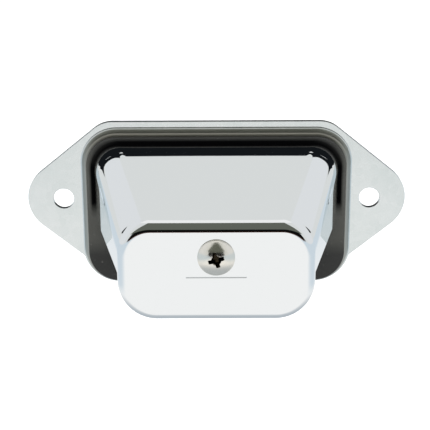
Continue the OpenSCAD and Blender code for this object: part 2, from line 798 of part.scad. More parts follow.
module filament_supports() {
    rise = globe_z - stem_z - stem_len;
    lean = (support_gap - stem_d * 0.4) / 2;
    tilt = atan(lean / rise);
    edge = support_d / 2 * sin(tilt);
    color(steel_colour) on_bulb_axis(stem_z + stem_len + edge) for (side = [-1, 1])
        translate([side * stem_d * 0.2, 0, 0])
            rotate([0, side * tilt, 0])
                cylinder(h = (rise - 2 * edge) / cos(tilt), d = support_d, $fn = 16);
}

module filament() {
    color(steel_colour) on_bulb_axis(globe_z + filament_d / 2)
        rotate([0, 90, 0])
            translate([0, 0, -support_gap / 2 - support_d])
                cylinder(h = support_gap + 2 * support_d, d = filament_d, $fn = 16);
}

module wire_grommet() {
    back = pan_back - grommet_flange;
    color(rubber_colour) translate([inlet_x, -back, -inlet_low]) rotate([90, 0, 0])
        rotate_extrude($fn = round_fn) polygon([
            [wire_hole_d / 2, 0],
            [grommet_d / 2, 0],
            [grommet_d / 2, grommet_flange],
            [grommet_neck_d / 2, grommet_flange],
            [grommet_neck_d / 2, grommet_flange + plate_t],
            [grommet_d / 2, grommet_flange + plate_t],
            [grommet_d / 2 - 0.5, 2 * grommet_flange + plate_t],
            [wire_hole_d / 2, 2 * grommet_flange + plate_t]]);
}

base_plate();
gasket();
hood();
hood_screw();
lens();
screw_seal();
hood_bracket();
clinch_nut();
rivets();
socket_bracket();
socket_shell();
contact_carrier();
contact_button();
contact_spring();
rear_insulator();
feed_terminal();
bulb_glass();
bulb_base();
bulb_insulator();
bulb_contact();
bulb_stem();
filament_supports();
filament();
wire_grommet();
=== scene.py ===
import math

import bmesh
import bpy
import numpy as np
from mathutils import Matrix, Vector
from mathutils.geometry import delaunay_2d_cdt


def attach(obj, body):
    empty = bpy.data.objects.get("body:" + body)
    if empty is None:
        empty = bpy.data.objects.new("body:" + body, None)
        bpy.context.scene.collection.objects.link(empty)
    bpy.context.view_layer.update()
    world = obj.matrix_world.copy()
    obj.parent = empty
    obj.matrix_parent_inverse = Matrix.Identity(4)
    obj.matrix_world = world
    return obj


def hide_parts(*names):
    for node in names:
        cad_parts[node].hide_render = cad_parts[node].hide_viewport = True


# Number plate lamp: zinc-plated base plate, rubber gasket, clear lens and a chrome hood.
# X runs to the right, the lamp faces -Y and Z is up. The dictionaries are in millimetres and
# degrees, and "forward", or f, is the distance from the mounting plane along -Y.
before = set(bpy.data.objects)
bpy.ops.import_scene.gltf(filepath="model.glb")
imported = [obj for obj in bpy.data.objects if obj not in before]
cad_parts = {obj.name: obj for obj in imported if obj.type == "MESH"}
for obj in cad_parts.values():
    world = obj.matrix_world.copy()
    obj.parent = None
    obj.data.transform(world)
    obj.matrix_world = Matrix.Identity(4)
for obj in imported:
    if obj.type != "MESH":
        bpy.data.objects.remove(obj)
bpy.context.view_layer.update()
mm = 0.001
rad = math.radians
rightAngle = math.pi / 2
print("stage: packed model loaded,", len(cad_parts), "nodes")


# Shapes

# A point of the lamp from its place to the right, forward and up, in millimetres, as Blender's
# metres: (x, -forward, z) times 0.001.
def place(x, f, z):
    x, f, z = np.broadcast_arrays(x, f, z)
    return np.stack([x, -f, z], -1) * mm


# Share of the way from a to b: (value - a) / (b - a), kept between 0 and 1.
def share(value, a, b):
    return np.clip((value - a) / (b - a), 0, 1)


# Drawn wall: the value starts at v0 at depth f0, shrinks by the tangent of the draft times the
# way forward, and runs out in a quarter arc of radius r that touches the plane f1.
def drawnWall(f, f0, v0, f1, r, draft):
    t, s, c = math.tan(rad(draft)), math.sin(rad(draft)), math.cos(rad(draft))
    start = f1 - r * (1 - s)
    arc = v0 - (start - f0) * t - r * c + np.sqrt(np.maximum(0, r * r - (f - f1 + r) ** 2))
    return np.where(f <= start, v0 - (f - f0) * t, arc)


# Depths that crowd towards f1 as a circle of radius r does: f1 - r * (1 - sin a), a from a0 to
# a right angle.
def arcDepths(f1, r, count, a0=0.0):
    a = np.linspace(rad(a0), rightAngle, count)
    return f1 - r * (1 - np.sin(a))


# divisions of a rounded rectangle's corners, upright runs and level runs
cornerSteps, sideSteps, acrossSteps = 20, 10, 24
# points on its upper way round, both cut points included
upperCount = 2 * sideSteps + 2 * (cornerSteps + 1) + acrossSteps - 1


# Rounded rectangle as a loop of points (x, z): four quarter circles (centre plus radius times
# cosine and sine) joined by straight runs that are divided evenly. The loop starts at height
# start on the right side and runs anticlockwise. All sizes may be columns of rows.
def roundedFrame(w, top, low, rTop, rLow, start, across=acrossSteps):
    w, top, low, rTop, rLow, start = [np.asarray(v, float).reshape(-1, 1)
                                      for v in (w, top, low, rTop, rLow, start)]
    q = np.linspace(0, rightAngle, cornerSteps + 1)[None, :]
    up = np.linspace(0, 1, sideSteps + 1)[None, :-1]
    over = np.linspace(0, 1, across + 1)[None, 1:-1]
    one = np.ones_like
    xs = [w * one(up), w - rTop + rTop * np.cos(q), (w - rTop) * (1 - 2 * over),
          rTop - w - rTop * np.sin(q), -w * one(up[:, 1:]), -w * one(up),
          rLow - w - rLow * np.cos(q), (w - rLow) * (2 * over - 1),
          w - rLow + rLow * np.sin(q), w * one(up[:, 1:])]
    zs = [start + (top - rTop - start) * up, top - rTop + rTop * np.sin(q), top * one(over),
          top - rTop + rTop * np.cos(q), top - rTop + (start - top + rTop) * up[:, 1:],
          start + (low + rLow - start) * up, low + rLow - rLow * np.sin(q), low * one(over),
          low + rLow - rLow * np.cos(q), low + rLow + (start - low - rLow) * up[:, 1:]]
    rows = max(x.shape[0] for x in xs)
    return [np.concatenate([np.broadcast_to(v, (rows, v.shape[1])) for v in run], 1)
            for run in (xs, zs)]


# Grid of points (rows, columns, 3) as four-cornered faces, closed round the columns or the rows
# where asked.
def grid(points, closedColumns=False, closedRows=False):
    rows, columns = points.shape[:2]
    index = np.arange(rows * columns).reshape(rows, columns)
    if closedColumns:
        index = np.concatenate([index, index[:, :1]], 1)
    if closedRows:
        index = np.concatenate([index, index[:1]], 0)
    faces = np.stack([index[:-1, :-1], index[:-1, 1:], index[1:, 1:], index[1:, :-1]], -1)
    return points.reshape(-1, 3), faces.reshape(-1, 4)


# Grid along a stack of closed loops of points (x, z), one loop at each depth.
def tube(loops, f):
    loops = np.asarray(loops)
    return grid(place(loops[..., 0], np.reshape(f, (-1, 1)), loops[..., 1]), True)


# Circle as a loop of points (x, z): centre plus radius times cosine and sine.
def circle(x, z, r, count=64):
    a = np.linspace(0, 2 * math.pi, count, endpoint=False)
    return np.stack([x + r * np.cos(a), z + r * np.sin(a)], 1)


# A closed loop moved sideways by d, outwards where d is positive: each point goes along the
# right-hand normal of the line between its two neighbours.
def shifted(loop, d):
    ahead = np.roll(loop, -1, 0) - np.roll(loop, 1, 0)
    normal = np.stack([ahead[:, 1], -ahead[:, 0]], 1)
    return loop + d * normal / np.linalg.norm(normal, axis=1, keepdims=True)


# Flat sheet between loops in the plane at depth f: a Delaunay net over all their points. Its
# triangles are gathered into regions that the loops bound, and a region stays where the middle
# of its largest triangle is inside an odd number of loops.
def flatSheet(loops, f):
    points = np.concatenate(loops)
    starts = np.cumsum([0] + [len(l) for l in loops])
    ends = np.concatenate([np.roll(np.arange(a, b), -1) for a, b in zip(starts[:-1], starts[1:])])
    lines = np.stack([np.arange(len(points)), ends], 1)
    net = delaunay_2d_cdt([Vector(p) for p in points.tolist()], lines.tolist(), [], 1, 1e-7)
    corners, triangles = np.array([tuple(v) for v in net[0]]), np.array([t for t in net[2]])
    count, total = len(corners), len(triangles)
    bounds = np.sort(np.array([e for e, o in zip(net[1], net[4]) if len(o)]), 1)
    sides = np.sort(np.concatenate([triangles[:, [0, 1]], triangles[:, [1, 2]],
                                    triangles[:, [2, 0]]]), 1)
    # pairs of triangles with a free side in common
    keys, owner = sides[:, 0] * count + sides[:, 1], np.tile(np.arange(total), 3)
    free = ~np.isin(keys, bounds[:, 0] * count + bounds[:, 1])
    keys, owner = keys[free], owner[free]
    order = np.argsort(keys, kind="stable")
    keys, owner = keys[order], owner[order]
    pair = np.nonzero(keys[1:] == keys[:-1])[0]
    # each region takes the lowest number among its triangles
    one, two, region, last = owner[pair], owner[pair + 1], np.arange(total), None
    while last is None or (region != last).any():
        last = region.copy()
        low = np.minimum(last[one], last[two])
        np.minimum.at(region, one, low)
        np.minimum.at(region, two, low)
        region = region[region]
    a, b, c = corners[triangles].transpose(1, 0, 2)
    area = np.abs((b - a)[:, 0] * (c - a)[:, 1] - (b - a)[:, 1] * (c - a)[:, 0]) / 2
    order = np.lexsort((area, region))
    largest = order[np.append(region[order][1:] != region[order][:-1], True)]
    middle = corners[triangles[largest]].mean(1)
    a, b = points[lines[:, 0]], points[lines[:, 1]]
    above = (a[:, 1] > middle[:, 1:2]) != (b[:, 1] > middle[:, 1:2])
    with np.errstate(divide="ignore", invalid="ignore"):
        cross = a[:, 0] + (middle[:, 1:2] - a[:, 1]) * (b[:, 0] - a[:, 0]) / (b[:, 1] - a[:, 1])
    inside = ((above & (middle[:, :1] < cross)).sum(1) % 2 == 1) & (area[largest] > 1e-5)
    kept = np.isin(region, region[largest[inside]])
    return place(corners[:, 0], f, corners[:, 1]), triangles[kept]


# Cut edge of a sheet from depth f0 to f1 along a loop, with its two corners rounded by r:
# side -1 for an outer edge and +1 for a hole's edge. Each corner is a quarter circle, inset by
# r * (1 - sin a) at the depth r * (1 - cos a).
def cutEdge(loop, f0, f1, r, side):
    a = np.linspace(0, rightAngle, 4)
    inset = np.concatenate([r * (1 - np.sin(a)), r * (1 - np.sin(a[::-1]))])
    toward = math.copysign(1, f1 - f0)
    depth = np.concatenate([f0 + toward * r * (1 - np.cos(a)),
                            f1 - toward * r * (1 - np.cos(a[::-1]))])
    return tube([shifted(loop, side * i) for i in inset], depth)


# Several nets of points and faces joined into one piece of the lamp.
def makePiece(name, nets, material, nodes, sharp=32, bevel=0):
    corners, faces, count = [], [], 0
    for points, net in nets:
        corners.append(points)
        faces += (net + count).tolist()
        count += len(points)
    mesh = bpy.data.meshes.new(name)
    mesh.from_pydata(np.concatenate(corners).tolist(), [], faces)
    return finishPiece(name, mesh, material, nodes, sharp, bevel)


# Marks the edges between a face that looks straight forward or back and one that doesn't, so
# that the shading of a rounded edge doesn't run into the flat sheet beside it.
def keepFlats(mesh):
    normals = np.empty(len(mesh.polygons) * 3)
    mesh.polygons.foreach_get("normal", normals)
    flat = (np.abs(normals.reshape(-1, 3)[:, 1]) > 0.9999).astype(int)
    sizes = np.empty(len(mesh.polygons), int)
    mesh.polygons.foreach_get("loop_total", sizes)
    edgeOf = np.empty(len(mesh.loops), int)
    mesh.loops.foreach_get("edge_index", edgeOf)
    low, high = np.ones(len(mesh.edges), int), np.zeros(len(mesh.edges), int)
    np.minimum.at(low, edgeOf, np.repeat(flat, sizes))
    np.maximum.at(high, edgeOf, np.repeat(flat, sizes))
    crisp = np.empty(len(mesh.edges), bool)
    mesh.edges.foreach_get("use_edge_sharp", crisp)
    mesh.edges.foreach_set("use_edge_sharp", crisp | (low != high))


# Points that lie together are merged, the faces are turned outwards, edges sharper than the
# angle stay crisp, and a bevel rounds them where one is asked for.
def finishPiece(name, mesh, material, nodes, sharp=32, bevel=0):
    mergeGap = 0.0004 * mm
    work = bmesh.new()
    work.from_mesh(mesh)
    bmesh.ops.remove_doubles(work, verts=work.verts, dist=mergeGap)
    bmesh.ops.dissolve_degenerate(work, edges=work.edges, dist=mergeGap / 4)
    bmesh.ops.recalc_face_normals(work, faces=work.faces)
    work.to_mesh(mesh)
    work.free()
    mesh.shade_smooth()
    mesh.set_sharp_from_angle(angle=rad(sharp))
    keepFlats(mesh)
    piece = bpy.data.objects.new(name, mesh)
    bpy.context.scene.collection.objects.link(piece)
    mesh.materials.append(material)
    if bevel:
        rounding = piece.modifiers.new("rounded edges", "BEVEL")
        rounding.width = bevel * mm
        rounding.segments = 3
        rounding.limit_method = "ANGLE"
        rounding.angle_limit = rad(sharp)
        rounding.miter_outer = "MITER_ARC"
    even = piece.modifiers.new("even shading", "WEIGHTED_NORMAL")
    even.keep_sharp = True
    even.weight = 80
    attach(piece, "root")
    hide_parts(*nodes)
    return piece


# A number at each point of a piece, for its material: the rule gets the points as arrays x,
# forward and z in millimetres.
def mark(piece, name, rule):
    mesh = piece.data
    co = np.empty(len(mesh.vertices) * 3)
    mesh.vertices.foreach_get("co", co)
    x, back, z = co.reshape(-1, 3).T / mm
    values = np.broadcast_to(rule(x, -back, z), x.shape).astype(np.float32)
    mesh.attributes.new(name, "FLOAT", "POINT").data.foreach_set("value", values)


# How far a point lies outside a rounded rectangle: its distance from the rectangle inside the
# corner circles, less the corner radius.
def outside(x, z, half, top, low, corner):
    middle, tall = (top + low) / 2, (top - low) / 2
    p, q = np.abs(x) - half + corner, np.abs(z - middle) - tall + corner
    return np.hypot(np.maximum(p, 0), np.maximum(q, 0)) \
        + np.minimum(np.maximum(p, q), 0) - corner


# A CAD solid taken over as it is: a merged copy with even shading.
def dressedCopy(node, material):
    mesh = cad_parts[node].data.copy()
    mesh.materials.clear()
    mesh.name = node + "Finished"
    finishPiece(node + "Finished", mesh, material, [node])


# Materials

# sRGB hex text as linear red, green, blue and alpha.
def linear(text, alpha=1.0):
    c = np.array([int(text[i:i + 2], 16) for i in (1, 3, 5)]) / 255
    return (*np.where(c <= 0.04045, c / 12.92, ((c + 0.055) / 1.055) ** 2.4), alpha)


# Adds a shader node, sets its fields, and sets or links its inputs. A node given as a value
# stands for its first output.
def add(tree, kind, inputs=None, **fields):
    made = tree.nodes.new("ShaderNode" + kind)
    for field, value in fields.items():
        setattr(made, field, value)
    for socket, value in (inputs or {}).items():
        if isinstance(value, bpy.types.Node):
            value = value.outputs[0]
        if isinstance(value, bpy.types.NodeSocket):
            tree.links.new(value, made.inputs[socket])
        else:
            made.inputs[socket].default_value = value
    return made


# A material, its empty tree and the place on the piece in metres.
def startMaterial(name):
    material = bpy.data.materials.new(name)
    material.use_nodes = True
    tree = material.node_tree
    tree.nodes.clear()
    return material, tree, add(tree, "TexCoord").outputs["Object"]


def endMaterial(material, shader):
    add(material.node_tree, "OutputMaterial", {"Surface": shader})
    return material


# Bright chrome over nickel on drawn steel: a mirror with a faint cold cast. Drawing leaves
# shallow waves a centimetre long, and handling leaves a little haze.
def chromePlatedSteel():
    material, tree, spot = startMaterial("chromePlatedSteel")
    waves = add(tree, "TexNoise", {"Vector": spot, "Scale": 1 / (12 * mm), "Detail": 1.0})
    haze = add(tree, "TexNoise", {"Vector": spot, "Scale": 1 / (5 * mm), "Detail": 4.0})
    rough = add(tree, "MapRange", {"Value": haze, "From Min": 0.35, "From Max": 0.7,
        "To Min": 0.02, "To Max": 0.06})
    bump = add(tree, "Bump", {"Height": waves, "Strength": 0.25, "Distance": 0.06 * mm})
    return endMaterial(material, add(tree, "BsdfPrincipled", {
        "Base Color": linear("#f2f3f3"), "Metallic": 1.0, "Roughness": rough, "Normal": bump}))


# Zinc-plated steel sheet: satin grey-white with small crystals, and a fine rolled grain. Where
# the pan was drawn the sheet is stretched, so the plating there is duller; its colour there is
# painted darker and warmer as painted shade, most on the upper wall, which mirrors the dark room.
def zincPlatedSteel():
    material, tree, spot = startMaterial("zincPlatedSteel")
    crystals = add(tree, "TexVoronoi", {"Vector": spot, "Scale": 1 / (2.2 * mm)}, feature="F1")
    cloud = add(tree, "TexNoise", {"Vector": spot, "Scale": 1 / (14 * mm), "Detail": 5.0})
    tone = add(tree, "Mix", {
        "Factor": 0.82, "A": crystals.outputs["Color"], "B": cloud.outputs["Color"]},
        data_type="RGBA")
    grey = add(tree, "RGBToBW", {"Color": tone.outputs[2]})
    colour = add(tree, "Mix", {"Factor": grey, "A": linear("#d0d8d6"), "B": linear("#fbfcfb")},
        data_type="RGBA")
    # painted shade: the drawn wall is darker, most on its upper part
    drawn = add(tree, "Attribute", attribute_name="drawn").outputs["Fac"]
    toned = add(tree, "Mix", {
        "Factor": drawn, "A": colour.outputs[2], "B": linear("#98968c")}, data_type="RGBA")
    satin = add(tree, "MapRange", {"Value": grey, "From Min": 0.2, "From Max": 0.8,
        "To Min": 0.2, "To Max": 0.27})
    rough = add(tree, "Math", {0: drawn, 1: 0.2, 2: satin}, operation="MULTIPLY_ADD")
    grain = add(tree, "TexNoise", {"Vector": spot, "Scale": 1 / (0.35 * mm), "Detail": 2.0})
    bump = add(tree, "Bump", {"Height": grain, "Strength": 0.12, "Distance": 0.02 * mm})
    return endMaterial(material, add(tree, "BsdfPrincipled", {
        "Base Color": toned.outputs[2], "Metallic": 1.0, "Roughness": rough, "Normal": bump}))


# Nitrile rubber sheet, moulded and cut: near black and matt, with grey dust in its pores. Painted
# light makes it greyer at the open sides, and painted shade darker below and at the top, where
# the hood shades it. Close to the hood it is painted black and its sheen is taken away, as painted
# shade.
def blackRubber():
    material, tree, spot = startMaterial("mouldedRubber")
    pores = add(tree, "TexNoise", {"Vector": spot, "Scale": 1 / (0.5 * mm), "Detail": 3.0})
    dust = add(tree, "TexNoise", {"Vector": spot, "Scale": 1 / (1.1 * mm), "Detail": 2.0})
    specks = add(tree, "MapRange", {"Value": dust, "From Min": 0.68, "From Max": 0.74,
        "To Min": 0.0, "To Max": 0.5})
    # painted light and shade: lighter at the open sides, darker below and at the top
    paintedSideLight = add(tree, "Attribute", attribute_name="paintedSideLight").outputs["Fac"]
    sheet = add(tree, "Mix", {
        "Factor": paintedSideLight, "A": linear("#2f2f2d"), "B": linear("#50504b")}, data_type="RGBA")
    dusty = add(tree, "Mix", {"Factor": specks, "A": sheet.outputs[2], "B": linear("#6c6c68")},
        data_type="RGBA")
    # painted shade: black beside the hood, and its sheen taken away there
    near = add(tree, "Attribute", attribute_name="paintedHoodShade").outputs["Fac"]
    colour = add(tree, "Mix", {
        "Factor": near, "A": dusty.outputs[2], "B": linear("#060607")}, data_type="RGBA")
    shadedShine = add(tree, "MapRange", {"Value": near, "To Min": 0.5, "To Max": 0.0})
    bump = add(tree, "Bump", {"Height": pores, "Strength": 0.3, "Distance": 0.04 * mm})
    return endMaterial(material, add(tree, "BsdfPrincipled", {
        "Base Color": colour.outputs[2], "Roughness": 0.62, "Normal": bump,
        "Specular IOR Level": shadedShine}))


# Nickel-plated screw: warmer than chrome, tumbled in a barrel, so slightly soft. The cross recess
# is coloured dark brown, the more the deeper it lies below the dome.
def nickelPlatedSteel():
    material, tree, spot = startMaterial("nickelPlatedSteel")
    tumble = add(tree, "TexNoise", {"Vector": spot, "Scale": 1 / (1.2 * mm), "Detail": 4.0})
    rough = add(tree, "MapRange", {"Value": tumble, "From Min": 0.3, "From Max": 0.7,
        "To Min": 0.13, "To Max": 0.24})
    bump = add(tree, "Bump", {"Height": tumble, "Strength": 0.2, "Distance": 0.02 * mm})
    sunk = add(tree, "Attribute", attribute_name="recess").outputs["Fac"]
    colour = add(tree, "Mix", {
        "Factor": sunk, "A": linear("#f0ebe1"), "B": linear("#30291f")}, data_type="RGBA")
    return endMaterial(material, add(tree, "BsdfPrincipled", {
        "Base Color": colour.outputs[2], "Metallic": 1.0, "Roughness": rough, "Normal": bump}))


# Clear polycarbonate, injection moulded: smooth, with the soft ripple of a moulded wall.
def clearPlastic():
    material, tree, spot = startMaterial("clearPolycarbonate")
    ripple = add(tree, "TexNoise", {"Vector": spot, "Scale": 1 / (7 * mm), "Detail": 1.0})
    bump = add(tree, "Bump", {"Height": ripple, "Strength": 0.15, "Distance": 0.05 * mm})
    return endMaterial(material, add(tree, "BsdfPrincipled", {
        "Base Color": linear("#f4f8f9"), "Roughness": 0.04, "IOR": 1.585,
        "Transmission Weight": 1.0, "Normal": bump}))


# Metals of the inner parts: name, colours of the dull and the bright places, roughness and the
# length of the marks in millimetres.
def plainMetal(name, dull, bright, roughLow, roughHigh, marks):
    material, tree, spot = startMaterial(name)
    wear = add(tree, "TexNoise", {"Vector": spot, "Scale": 1 / (marks * mm), "Detail": 4.0})
    colour = add(tree, "Mix", {
        "Factor": wear, "A": linear(dull), "B": linear(bright)}, data_type="RGBA")
    rough = add(tree, "MapRange", {"Value": wear, "From Min": 0.3, "From Max": 0.7,
        "To Min": roughHigh, "To Max": roughLow})
    bump = add(tree, "Bump", {"Height": wear, "Strength": 0.15, "Distance": 0.02 * mm})
    return endMaterial(material, add(tree, "BsdfPrincipled", {
        "Base Color": colour.outputs[2], "Metallic": 1.0, "Roughness": rough, "Normal": bump}))


# Materials that aren't metal: name, two colours, roughness, size of the pattern and its depth.
def plainSolid(name, dark, pale, rough, marks, depth, **sockets):
    material, tree, spot = startMaterial(name)
    cloud = add(tree, "TexNoise", {"Vector": spot, "Scale": 1 / (marks * mm), "Detail": 4.0})
    colour = add(tree, "Mix", {
        "Factor": cloud, "A": linear(dark), "B": linear(pale)}, data_type="RGBA")
    bump = add(tree, "Bump", {"Height": cloud, "Strength": 0.3, "Distance": depth * mm})
    inputs = {"Base Color": colour.outputs[2], "Roughness": rough, "Normal": bump}
    inputs.update({key.replace("_", " "): value for key, value in sockets.items()})
    return endMaterial(material, add(tree, "BsdfPrincipled", inputs))


chrome = chromePlatedSteel()
zinc = zincPlatedSteel()
rubber = blackRubber()
nickel = nickelPlatedSteel()
plastic = clearPlastic()
strip = plainMetal("zincPlatedStrip", "#aeb2b4", "#d3d6d7", 0.25, 0.42, 1.5)
wire = plainMetal("drawnSpringWire", "#8d8f91", "#b5b7b9", 0.2, 0.35, 0.8)
brass = plainMetal("drawnBrass", "#b88f45", "#dcbc74", 0.2, 0.38, 1.6)
fibre = plainSolid("vulcanisedFibre", "#5a3822", "#7b5236", 0.7, 0.6, 0.04)
glass = plainSolid("blownGlass", "#f6f9fa", "#fdfefe", 0.02, 8, 0.03, IOR=1.52,
                   Transmission_Weight=1.0)
bead = plainSolid("blackGlassBead", "#0f0f12", "#1b1b20", 0.18, 1.5, 0.02, IOR=1.52)
solder = plainMetal("softSolder", "#9c9c9b", "#c2c2c0", 0.3, 0.5, 0.7)
tungsten = plainMetal("coiledTungsten", "#6f7175", "#93959a", 0.35, 0.5, 0.3)
print("stage: materials made")


# Base plate

plate = {"holeSpacing": 95.25, "holeWidth": 6.4, "earRadius": 11.1, "thick": 1.5, "top": 24.6,
         "low": 24.6, "slant": 39, "blendRadius": 9, "edge": 0.12, "rootRadius": 0.6,
         "backRadius": 1.1, "rivetRadius": 1.55, "strapRivets": (-0.3, 5.1),
         "socketRivets": (-8.6, 0.6), "socketRivetIn": 1, "inletRadius": 4.05, "inletLow": 8,
         "inletGap": 3.5, "grommetRadius": 5.5, "socketGap": 7}
pan = {"width": 83, "top": 22.4, "low": 27.2, "corner": 11, "height": 4.8, "draft": 14,
       "bend": 1, "land": 0.6, "dullRise": 0.5, "dullFrom": -2.6, "dullTo": -2.2,
       "shadeBelow": 10, "shadeAbove": 20, "shadeSides": 0.75}


# The outline of the flat plate: the far point of six discs in each direction n, that is the
# disc centre plus radius times n for which centre . n + radius is largest.
def plateOutline():
    slant, blend, ear = rad(plate["slant"]), plate["blendRadius"], plate["earRadius"]
    half = plate["holeSpacing"] / 2
    run = [(plate[k] - blend - (ear - blend) / math.cos(slant)) / math.tan(slant)
           for k in ("top", "low")]
    discs = np.array([[s * x, z, r] for s in (-1, 1) for x, z, r in
                      ((half, 0, ear), (half - run[0], plate["top"] - blend, blend),
                       (half - run[1], blend - plate["low"], blend))])
    a = np.linspace(-math.pi, math.pi, 1200, endpoint=False)
    n = np.stack([np.cos(a), np.sin(a)], 1)
    best = np.argmax(n @ discs[:, :2].T + discs[:, 2], 1)
    return discs[best, :2] + discs[best, 2:] * n


# The pan's outline moved outwards by s, as a loop of points (x, z).
def panLoop(s):
    s = np.asarray(s, float)
    x, z = roundedFrame(pan["width"] / 2 + s, pan["top"] + s, -pan["low"] - s,
                        pan["corner"] + s, pan["corner"] + s, 0 * s)
    return np.stack([x, z], -1)


# Points at even steps of half a millimetre along a closed loop.
def evenly(loop, step=0.5):
    closed = np.concatenate([loop, loop[:1]])
    way = np.concatenate([[0], np.cumsum(np.linalg.norm(np.diff(closed, axis=0), axis=1))])
    at = np.linspace(0, way[-1], int(way[-1] / step), endpoint=False)
    return np.stack([np.interp(at, way, closed[:, 0]), np.interp(at, way, closed[:, 1])], 1)


# Outer line of two overlapping outlines that both lie round the origin: at each angle the
# farther of the two.
def joined(a, b):
    def polar(loop):
        angle = np.arctan2(loop[:, 1], loop[:, 0])
        order = np.argsort(angle)
        return angle[order], np.linalg.norm(loop, axis=1)[order], loop[order]
    (angleA, farA, loopA), (angleB, farB, loopB) = polar(evenly(a)), polar(evenly(b))
    keepA = farA >= np.interp(angleA, angleB, farB, period=2 * math.pi)
    keepB = farB > np.interp(angleB, angleA, farA, period=2 * math.pi)
    points = np.concatenate([loopA[keepA], loopB[keepB]])
    return points[np.argsort(np.concatenate([angleA[keepA], angleB[keepB]]))]


# One face of the pan's wall, from depth f0 to f1 and moved inwards by the shift: an arc of the
# root's radius, r * sin a sideways at r * (1 - cos a) forward, the drafted wall and the bend.
def panWall(f0, f1, shift, root, wallCount, bendCount):
    draft = rad(pan["draft"])
    a = np.linspace(0, rightAngle - draft, 8)
    foot = root * (1 - math.sin(draft)) / math.cos(draft)
    rise = np.concatenate([np.linspace(f0 + root, f1 - pan["bend"] * 0.8, wallCount)[1:],
                           arcDepths(f1, pan["bend"], bendCount, pan["draft"])])
    s = np.concatenate([foot - root * np.sin(a),
                        drawnWall(rise, f0, 0, f1, pan["bend"], pan["draft"])]) - shift
    f = np.concatenate([f0 + root * (1 - np.cos(a)), rise])
    order = np.argsort(f, kind="stable")
    return panLoop(s[order]), f[order]


# The sheet's front and back are flat round the pan, and its walls are the two drawn faces.
def makeBasePlate():
    t, e = plate["thick"], plate["edge"]
    outline = joined(plateOutline(), panLoop(pan["land"])[0])
    ears = [circle(s * plate["holeSpacing"] / 2, 0, plate["holeWidth"] / 2) for s in (-1, 1)]
    holes = [circle(x, z, plate["rivetRadius"], 32) for x, z in
             [(0, z) for z in plate["strapRivets"]]
             + [(plate["socketRivetIn"] - socketX, z) for z in plate["socketRivets"]]]
    holes += [circle(inletX, -plate["inletLow"], plate["inletRadius"], 48)]
    wall, f = panWall(t, pan["height"], 0, plate["rootRadius"], 8, 12)
    backWall, backF = panWall(0, panBack, t, plate["backRadius"], 6, 10)
    edge = [shifted(outline, -e)]
    nets = [flatSheet(edge + [wall[0]] + [shifted(l, e) for l in ears], t),
            flatSheet(edge + [backWall[0]] + [shifted(l, e) for l in ears], 0),
            cutEdge(outline, t, 0, e, -1), tube(wall, f), tube(backWall, backF),
            flatSheet([wall[-1]] + [shifted(l, e) for l in holes], pan["height"]),
            flatSheet([backWall[-1]] + [shifted(l, e) for l in holes], panBack)]
    nets += [cutEdge(l, t, 0, e, 1) for l in ears]
    nets += [cutEdge(l, pan["height"], panBack, e, 1) for l in holes]
    piece = makePiece("drawnBasePlate", nets, zinc, ["base_plate"])
    # painted shade on the drawn wall, strongest on the upper wall that mirrors the dark room
    sides = pan["shadeSides"]
    mark(piece, "drawn", lambda x, f, z: share(f, t, t + pan["dullRise"]) * share(
        outside(x, z, pan["width"] / 2, pan["top"], -pan["low"], pan["corner"]),
        pan["dullFrom"], pan["dullTo"])
        * (sides + (1 - sides) * share(z, pan["shadeBelow"], pan["shadeAbove"])))


# Gasket

gasket = {"thick": 1.7, "gap": 0.1, "lip": 1.0, "edge": 0.3, "bulge": 0.06,
          "sideLightLow": (-17, -12), "sideLightTop": (19, 12), "sideLightLeast": 0.1,
          "shadeWidth": 1.45, "shadeMore": 0.65, "shadeTop": (8, 18), "shadeEnd": (-0.5, 3.5)}


# Its section runs round the ring, with rounded corners and a slight outward bulge under the
# pressure of the hood: the bulge times the sine of the way up.
def makeGasket():
    e, t, bend = gasket["edge"], gasket["thick"], pan["bend"]
    draft = rad(pan["draft"])
    inset = (pan["height"] - plate["thick"] - bend * (1 - math.sin(draft))) * math.tan(draft) \
        + bend * math.cos(draft) + gasket["gap"]
    cover = lens["thick"] + gasket["lip"]
    a = np.linspace(0, rightAngle, 6)
    up = np.linspace(0, 1, 6)[1:-1]
    side = np.concatenate([-e * (1 - np.sin(a)), gasket["bulge"] * np.sin(math.pi * up),
                           -e * (1 - np.sin(a[::-1]))])
    depth = pan["height"] + np.concatenate([e * (1 - np.cos(a)), e + (t - 2 * e) * up,
                                            t - e * (1 - np.cos(a[::-1]))])
    outer = roundedFrame(pan["width"] / 2 - inset + side, pan["top"] - inset + side,
                         -pan["low"] + inset - side, pan["corner"] - inset + side,
                         pan["corner"] - inset + side, 0 * side)
    turned = -side[::-1]
    slope = math.cos(rad(lens["slope"]))
    inner = roundedFrame(lensHalf - cover + turned, lens["top"] - cover / slope + turned,
                         -lens["low"] + cover - turned, lens["corner"] - cover + turned,
                         lens["corner"] - cover + turned, 0 * turned)
    # loops across the front face, closer together by the hood
    over = np.array([0.04, 0.1, 0.18, 0.26, 0.34, 0.5, 0.75])[:, None]
    flat = [o[-1] * (1 - over) + i[0] * over for o, i in zip(outer, inner)]
    x, z = [np.concatenate([o, between, i]) for o, between, i in zip(outer, flat, inner)]
    f = np.concatenate([depth, over[:, 0] * 0 + seat, depth[::-1]])[:, None]
    piece = makePiece("pressedGasket", [grid(place(x, f, z), True, True)], rubber,
                      ["gasket"])
    # painted light and shade: lighter at the open sides, darker below and at the top, where the
    # hood shades it
    mark(piece, "paintedSideLight", lambda x, f, z: share(z, *gasket["sideLightLow"])
         * np.maximum(share(z, *gasket["sideLightTop"]), gasket["sideLightLeast"]))
    # painted shade beside the hood: black for the first two fifths of the way out, then fading
    mark(piece, "paintedHoodShade", lambda x, f, z: np.clip(1.7 - 1.7 * outside(
        x, z, hood["rootWidth"] / 2, hood["rootTop"], -pan["low"], hood["rootCorner"])
        / (gasket["shadeWidth"] + gasket["shadeMore"] * share(z, *gasket["shadeTop"])), 0, 1)
        * share(z + hood["cutRoot"], *gasket["shadeEnd"]))


# Hood

